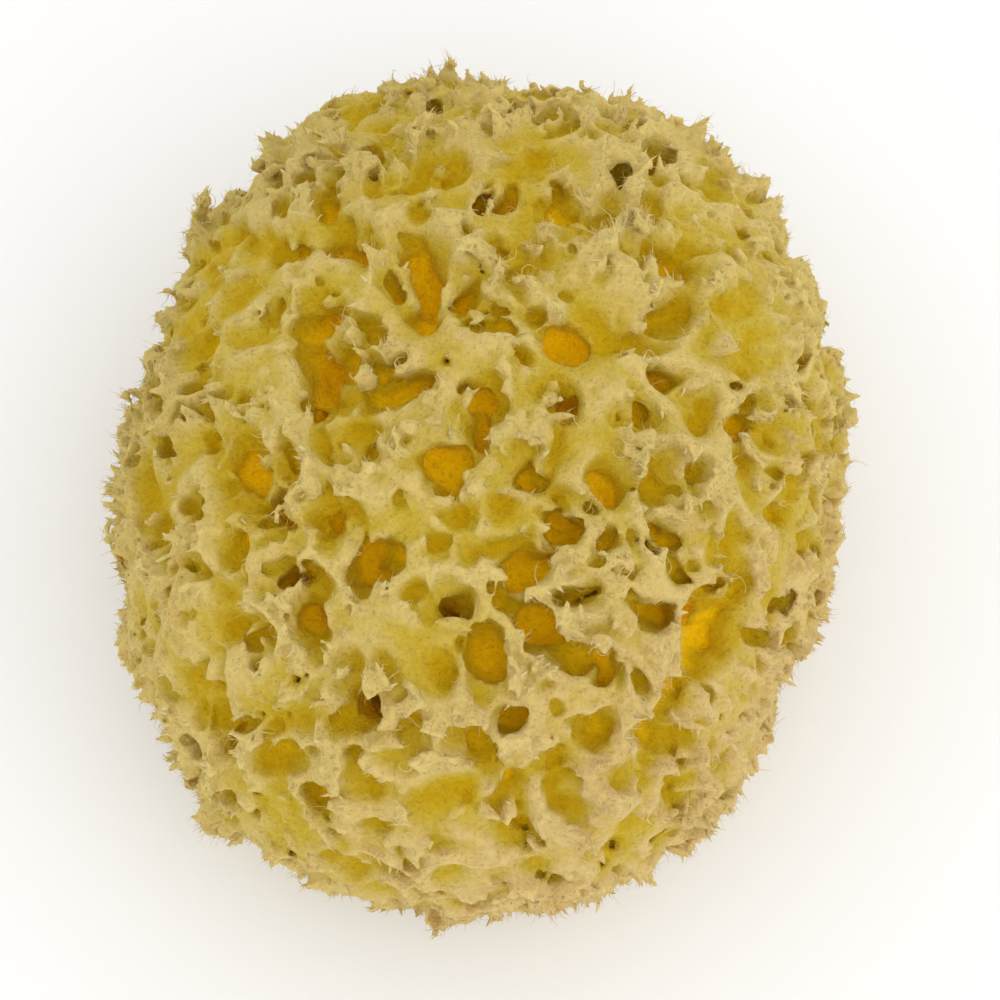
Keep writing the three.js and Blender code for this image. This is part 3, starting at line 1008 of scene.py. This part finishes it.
# Grain of the felt: fine matted fibres as noise, less pin-holes at the lows of a finer one.
def grainGroup():
    group, given, result = nodeGroup(
        "felt grain",
        [("Place", "Vector", None), ("Fineness", "Float", 1.0), ("Pin-holes", "Float", 1.0)],
        [("Height", "Float"), ("Holes", "Float")],
    )
    scaled = addNode(group, "VectorMath", {"operation": "SCALE"}, {0: given.outputs["Place"]})
    group.links.new(given.outputs["Fineness"], scaled.inputs["Scale"])
    place = scaled.outputs[0]
    fibreNoise = {"Scale": grain["threads"], "Detail": 2.0, "Roughness": 0.75}
    fibre = addNode(group, "TexNoise", fibreNoise, {"Vector": place})
    dots = addNode(group, "TexNoise", {"Scale": grain["dots"], "Detail": 0.0}, {"Vector": place})
    holes = mapRange(group, dots.outputs["Fac"], *grain["holes"])
    holes = mathNode(group, "MULTIPLY", holes, given.outputs["Pin-holes"])
    sunk = mathNode(group, "MULTIPLY", holes, grain["holeDepth"])
    height = mathNode(group, "SUBTRACT", fibre.outputs["Fac"], sunk)
    group.links.new(height, result.inputs["Height"])
    group.links.new(holes, result.inputs["Holes"])
    return group


toneNodes = toneGroup()
grainNodes = grainGroup()


def placeGroup(tree, group, values, links):
    node = tree.nodes.new("ShaderNodeGroup")
    node.node_tree = group
    for key, value in values.items():
        node.inputs[key].default_value = value
    for key, socket in links.items():
        tree.links.new(socket, node.inputs[key])
    return node


# Felted spongin: matt, with light soaking a little way in. `looks` sets how fine, pale and rough it is.
def spongeMaterial(name, looks):
    material = bpy.data.materials.new(name)
    material.use_nodes = True
    tree = material.node_tree
    shader = tree.nodes["Principled BSDF"]
    place = addNode(tree, "TexCoord").outputs["Object"]
    links = {"Place": place}
    for key, name in zip(("Hollow", "Crowd", "Crowd Wide", "Patch"), marks):
        links[key] = addNode(tree, "Attribute", {"attribute_name": name}).outputs["Fac"]
    values = {"Patchiness": looks["patchiness"], "Paleness": looks["paleness"]}
    # the tone paints shade and bounced light into the hollows, a highlight on the tips, warm light low at
    # the right and shade at the far left
    tone = placeGroup(tree, toneNodes, values, links)
    values = {"Fineness": looks["fineness"], "Pin-holes": looks["pinHoles"]}
    felt = placeGroup(tree, grainNodes, values, {"Place": place})
    height = felt.outputs["Height"]
    # painted shade: the pin-holes of the grain are mixed towards a darker ochre
    share = mathNode(tree, "MULTIPLY", felt.outputs["Holes"], tones["pinHoleShadeMix"])
    colour = mixColour(tree, share, tone.outputs["Color"], srgb(*tones["pinHoleShade"]))
    thready = mapRange(tree, height, 0.3, 0.65, 1 - looks["thready"], 1 + looks["thready"], smooth=False)
    colour = addNode(tree, "VectorMath", {"operation": "SCALE"}, {0: colour, "Scale": thready}).outputs[0]
    colour = mixColour(tree, looks["bleach"], colour, srgb(*tones["bleached"]))
    tree.links.new(colour, shader.inputs["Base Color"])
    values = {"Strength": looks["bump"], "Distance": looks["bumpDepth"]}
    bump = addNode(tree, "Bump", values, {"Height": height})
    tree.links.new(bump.outputs["Normal"], shader.inputs["Normal"])
    roughness = mapRange(tree, height, 0.3, 1.0, 0.98, 0.82, smooth=False)
    tree.links.new(roughness, shader.inputs["Roughness"])
    shader.inputs["Specular IOR Level"].default_value = 0.08
    shader.inputs["Subsurface Weight"].default_value = looks["soak"]
    shader.inputs["Subsurface Radius"].default_value = (1.0, 0.6, 0.16)
    shader.inputs["Subsurface Scale"].default_value = looks["soakDepth"]
    shader.inputs["Sheen Weight"].default_value = looks["sheen"]
    shader.inputs["Sheen Roughness"].default_value = 0.6
    shader.inputs["Sheen Tint"].default_value = srgb(*tones["sheen"])
    return material


feltLooks = {
    "thready": 0.09,
    "bleach": 0.0,
    "patchiness": 1.0,
    "paleness": 0.0,
    "fineness": 1.0,
    "pinHoles": 1.0,
    "bump": 0.6,
    "bumpDepth": 0.0007,
    "soak": 0.35,
    "soakDepth": 0.0016,
    "sheen": 0.03,
}
feltMaterial = spongeMaterial("sponge felt", feltLooks)
addPiece("sponge_body", bodyMesh, feltMaterial)

# What the fibres need of the body: its normals, and the size, middle and crowding of each face.
bodyNormals = np.empty(len(points) * 3, np.float32)
bodyMesh.vertices.foreach_get("normal", bodyNormals)
bodyNormals = bodyNormals.reshape(-1, 3)
cornerPoints = points[triangles]
faceNormals = np.cross(cornerPoints[:, 1] - cornerPoints[:, 0], cornerPoints[:, 2] - cornerPoints[:, 0])
faceAreas = np.linalg.norm(faceNormals, axis=1) / 2
faceCentres = cornerPoints.mean(1)
faceCrowd = sample(crowd, faceCentres, grid["crowdStep"])
faceHollow = sample(depth, faceCentres)


def unit(vectors):
    return vectors / np.maximum(np.linalg.norm(vectors, axis=-1, keepdims=True), 1e-9)


# Random roots on the body, with the normal there: likelier where the felt stands clear of what is round it
# and near the skin, and at the fringes; none beside the cut.
def rootsOn(look, random):
    crowdTop, crowdSpan = look["crowd"]
    count = look["count"]
    liking = np.clip((crowdTop - faceCrowd) / crowdSpan, 0, 1) ** look["choosy"]
    liking = liking * np.exp(-np.clip(faceHollow, 0, None) / look["reach"])
    liking = liking * (1 + look["fringed"] * fringe(faceCentres))
    share = faceAreas * liking * (faceCentres[:, 2] > fibreStart)
    chosen = random.choice(len(share), count, p=share / share.sum())
    a, b = random.uniform(0, 1, (2, count, 1))
    folded = a + b > 1
    a, b = np.where(folded, 1 - a, a), np.where(folded, 1 - b, b)
    spots, normals = cornerPoints[chosen], bodyNormals[triangles[chosen]]
    mix = lambda corner: corner[:, 0] * (1 - a - b) + corner[:, 1] * a + corner[:, 2] * b
    return mix(spots), unit(mix(normals))


# Strands that taper from a root: rings of a flattened round section carried along an arc. The path sets off
# along `aim` and turns steadily by `turn` radians towards `side`; the ring's half width and thickness shrink
# with a power of the way along. Each is closed by a cap at the root and a point at the tip.
def strandPiece(name, look, roots, aim, side, turn, length, width, thickness, seed):
    random = np.random.default_rng(seed)
    count, rings, sides, wobble = len(roots), look["rings"], look["sides"], look["wobble"]
    side = unit(side - aim * (side * aim).sum(1, keepdims=True))
    hinge = np.cross(aim, side)
    way = (np.arange(rings + 1) / rings)[None, :, None]
    angle = turn[:, None, None] * way
    heading = aim[:, None] * np.cos(angle) + side[:, None] * np.sin(angle)
    heading = heading + wobble * random.normal(0, 1, heading.shape)
    path = np.cumsum(heading[:, :-1] * (length[:, None, None] / rings), axis=1)
    path = roots[:, None] + np.concatenate([np.zeros((count, 1, 3)), path], axis=1)
    up = np.cross(heading, hinge[:, None])
    size = (1 - way[:, :-1]) ** look["point"] * (1 + 1.5 * wobble * random.normal(0, 1, (count, rings, 1)))
    turnRound = 2 * np.pi * np.arange(sides) / sides
    spread = hinge[:, None, None] * np.cos(turnRound)[:, None] * width[:, None, None, None]
    lift = up[:, :-1, None] * np.sin(turnRound)[:, None] * thickness[:, None, None, None]
    ring = path[:, :-1, None] + (spread + lift) * size[..., None]
    verts = np.concatenate([ring.reshape(count, -1, 3), path[:, -1:]], axis=1)
    verts[..., 2] = np.maximum(verts[..., 2], fibreClear)
    here = np.arange(sides)
    after = (here + 1) % sides
    faces = [np.stack([here[:-2] * 0, here[2:], here[1:-1]], -1)]
    for r in range(rings - 1):
        a, b = r * sides + here, r * sides + after
        c, d = b + sides, a + sides
        faces += [np.stack([a, b, c], -1), np.stack([a, c, d], -1)]
    last = (rings - 1) * sides
    faces.append(np.stack([last + here, last + after, np.full(sides, rings * sides)], -1))
    pattern = np.concatenate(faces)
    each = verts.shape[1]
    allFaces = (pattern[None] + each * np.arange(count)[:, None, None]).reshape(-1, 3)
    mesh = makeMesh(name, verts.reshape(-1, 3), allFaces)
    # each strand takes the marks of its root, so the painted shade and highlight of the felt carry onto it
    markPlaces(mesh, roots, each)
    print(name + ":", count, "strands,", len(allFaces), "triangles")
    addPiece(name, mesh, fibreMaterial)


fibreLooks = {
    "thready": 0.0,
    "bleach": 0.15,
    "patchiness": 0.6,
    "paleness": 0.3,
    "fineness": 1.0,
    "pinHoles": 0.0,
    "bump": 0.2,
    "bumpDepth": 0.0002,
    "soak": 0.0,
    "soakDepth": 0.0016,
    "sheen": 0.05,
}
fibreMaterial = spongeMaterial("sponge fibre", fibreLooks)

fibreStart = 0.8  # height of the lowest roots
fibreClear = 0.02  # and of the lowest point of a strand
# spots of the skin where wisps and curls gather: tilt, bearing, spread in mm
fringes = [(32, 92, 9), (36, 60, 9), (22, 70, 7), (42, 30, 8), (24, 350, 6), (48, 12, 8), (70, 176, 9)]


# The way out of the ellipsoid under the skin: the place over the square of each half size.
def skinOutward(places):
    halves = np.array([halfWidth, halfLength, height - outline["bellyHeight"]])
    return unit((places - bellyCentre) / halves**2)


flow = [lumps(510 + a, 6.0) for a in range(3)]


# Which way the fibres of a neighbourhood lean: outward from the skin, turned by soft lumps.
def leanAt(places, turned):
    return unit(skinOutward(places) + turned * np.stack([sample(part, places) for part in flow], -1))


# Where wisps and curls gather into fringes: bell curves round spots of the skin.
def fringe(places):
    gather = np.zeros(len(places))
    for tilt, bearing, spread in fringes:
        away = np.linalg.norm(places - skinPoint(tilt, bearing), axis=1)
        gather += np.exp(-((away / spread) ** 2))
    return gather


flakes = {
    "count": 2400,
    "crowd": (0.46, 0.16),  # none where it is more crowded than this, and the span below it to all
    "choosy": 1.5,
    "reach": 4.0,  # mm of depth over which they thin out
    "fringed": 0,
    "length": (0.9, 2.0),
    "width": (0.28, 0.6),
    "thickness": 0.13,
    "turn": (0.0, 0.9),
    "sunk": 0.35,  # how far under the felt they start
    "rings": 4,
    "sides": 5,
    "point": 1.0,
    "wobble": 0.12,
}


# Torn flakes on the lips: flat strands that point up and over the pore.
def makeFlakes():
    count = flakes["count"]
    random = np.random.default_rng(61)
    roots, normals = rootsOn(flakes, random)
    aim = unit(0.5 * normals + leanAt(roots, 0.6) + random.normal(0, 0.2, (count, 3)))
    length = random.uniform(*flakes["length"], count)
    turn = random.uniform(*flakes["turn"], count)
    width = random.uniform(*flakes["width"], count)
    thickness = np.full(count, flakes["thickness"])
    side = leanAt(roots, 3.0)
    roots = roots - flakes["sunk"] * normals
    strandPiece("sponge_flakes", flakes, roots, aim, side, turn, length, width, thickness, 62)


wisps = {
    "count": 8600,
    "crowd": (0.5, 0.2),
    "choosy": 1.5,
    "reach": 5.0,
    "fringed": 2,
    "length": (1.0, 3.2),
    "shorter": (0.5, 1.0),
    "radius": (0.035, 0.065),
    "turn": (-0.6, 2.6),
    "sunk": 0.1,
    "rings": 4,
    "sides": 3,
    "point": 0.6,
    "wobble": 0.12,
}


# Fine wisps standing off the tips and lips.
def makeWisps(name, seed):
    count = wisps["count"]
    random = np.random.default_rng(seed)
    roots, normals = rootsOn(wisps, random)
    aim = unit(0.5 * normals + leanAt(roots, 0.8) + random.normal(0, 0.35, (count, 3)))
    length = random.uniform(*wisps["length"], count) * random.uniform(*wisps["shorter"], count)
    radius = random.uniform(*wisps["radius"], count)
    side = unit(leanAt(roots, 2.0) + random.normal(0, 0.5, (count, 3)))
    turn = random.uniform(*wisps["turn"], count)
    roots = roots - wisps["sunk"] * normals
    strandPiece(name, wisps, roots, aim, side, turn, length, radius, radius, seed + 1)


feltFibres = {
    "count": 8600,
    "crowd": (0.66, 0.2),
    "choosy": 1,
    "reach": 3.0,
    "fringed": 0,
    "rise": (0.2, 0.9),
    "length": (0.8, 1.8),
    "radius": (0.022, 0.038),
    "turn": (0.3, 1.5),
    "sunk": 0.05,
    "rings": 4,
    "sides": 3,
    "point": 0.5,
    "wobble": 0.12,
}


# Matted fibres that lie close along the felt between the pores.
def makeFelt(name, seed):
    count = feltFibres["count"]
    random = np.random.default_rng(seed)
    roots, normals = rootsOn(feltFibres, random)
    flat = random.normal(0, 1, (count, 3))
    flat = unit(flat - normals * (flat * normals).sum(1, keepdims=True))
    aim = unit(flat + random.uniform(*feltFibres["rise"], (count, 1)) * normals)
    length = random.uniform(*feltFibres["length"], count)
    radius = random.uniform(*feltFibres["radius"], count)
    turn = random.uniform(*feltFibres["turn"], count)
    roots = roots - feltFibres["sunk"] * normals
    strandPiece(name, feltFibres, roots, aim, -normals, turn, length, radius, radius, seed + 1)


curls = {
    "count": 200,
    "crowd": (0.42, 0.14),
    "choosy": 2,
    "reach": 4.0,
    "fringed": 9,
    "length": (2.2, 4.6),
    "radius": (0.05, 0.085),
    "turn": (1.0, 4.5),
    "sunk": 0.15,
    "rings": 16,
    "sides": 4,
    "point": 0.35,
    "wobble": 0.1,
}


# Longer curls, here and there, at the lips.
def makeCurls():
    count = curls["count"]
    random = np.random.default_rng(91)
    roots, normals = rootsOn(curls, random)
    aim = unit(normals + random.normal(0, 0.4, (count, 3)))
    length = random.uniform(*curls["length"], count)
    radius = random.uniform(*curls["radius"], count)
    side = unit(random.normal(0, 1, (count, 3)))
    turn = random.uniform(*curls["turn"], count)
    roots = roots - curls["sunk"] * normals
    strandPiece("sponge_curls", curls, roots, aim, side, turn, length, radius, radius, 92)


makeFlakes()
makeWisps("sponge_wisps", 71)
makeFelt("sponge_felt_a", 81)
makeFelt("sponge_felt_b", 86)
makeCurls()

stageSettings = {
    "floor": 3.0,
    "floorShade": (250, 250, 250),
    "sky": 0.98,
    "keyPlace": (0.3, -0.3, 0.7),
    "keySize": 0.7,
    "keyPower": 1.3,
    "keyColour": (1, 0.98, 0.95),
    "lit": (0, 0, 0.04),  # the spot that the light faces
}


# A white floor and an even sky.
def makeStage():
    half = stageSettings["floor"] / 2
    corners = np.array([[-half, -half, 0], [half, -half, 0], [half, half, 0], [-half, half, 0]]) / mm
    mesh = makeMesh("floor", corners, np.array([[0, 1, 2, 3]]))
    floor = bpy.data.objects.new("floor", mesh)
    bpy.context.scene.collection.objects.link(floor)
    paper = bpy.data.materials.new("paper")
    paper.use_nodes = True
    shader = paper.node_tree.nodes["Principled BSDF"]
    shader.inputs["Base Color"].default_value = srgb(*stageSettings["floorShade"])
    shader.inputs["Roughness"].default_value = 0.9
    mesh.materials.append(paper)
    world = bpy.data.worlds.new("room")
    bpy.context.scene.world = world
    world.use_nodes = True
    background = world.node_tree.nodes["Background"]
    background.inputs["Color"].default_value = (1.0, 1.0, 1.0, 1)
    background.inputs["Strength"].default_value = stageSettings["sky"]


# A square soft light, turned to face the sponge.
def makeKeyLight():
    light = bpy.data.lights.new("key", "AREA")
    light.size = stageSettings["keySize"]
    light.energy = stageSettings["keyPower"]
    light.color = stageSettings["keyColour"]
    lamp = bpy.data.objects.new("key", light)
    bpy.context.scene.collection.objects.link(lamp)
    lamp.location = stageSettings["keyPlace"]
    aim = Vector(stageSettings["lit"]) - Vector(stageSettings["keyPlace"])
    lamp.rotation_euler = aim.to_track_quat("-Z", "Y").to_euler()


cameraSettings = {
    "azimuth": 8.3,
    "elevation": 72.0,
    "distance": 0.4,
    "target": (0, 0, 0.036),
    "lens": 95.2,
    "shift": (0.014, -0.012),
}


def makeCamera():
    view = bpy.data.cameras.new("view")
    view.lens = cameraSettings["lens"]
    view.shift_x, view.shift_y = cameraSettings["shift"]
    view.clip_start = 0.01
    camera = bpy.data.objects.new("view", view)
    bpy.context.scene.collection.objects.link(camera)
    bpy.context.scene.camera = camera
    azimuth, elevation = np.radians([cameraSettings["azimuth"], cameraSettings["elevation"]])
    flat = np.cos(elevation)
    back = Vector((np.sin(azimuth) * flat, -np.cos(azimuth) * flat, np.sin(elevation)))
    camera.location = Vector(cameraSettings["target"]) + back * cameraSettings["distance"]
    camera.rotation_euler = (-back).to_track_quat("-Z", "Y").to_euler()


makeStage()
makeKeyLight()
makeCamera()
bpy.context.scene.view_settings.view_transform = "Standard"

print("done")
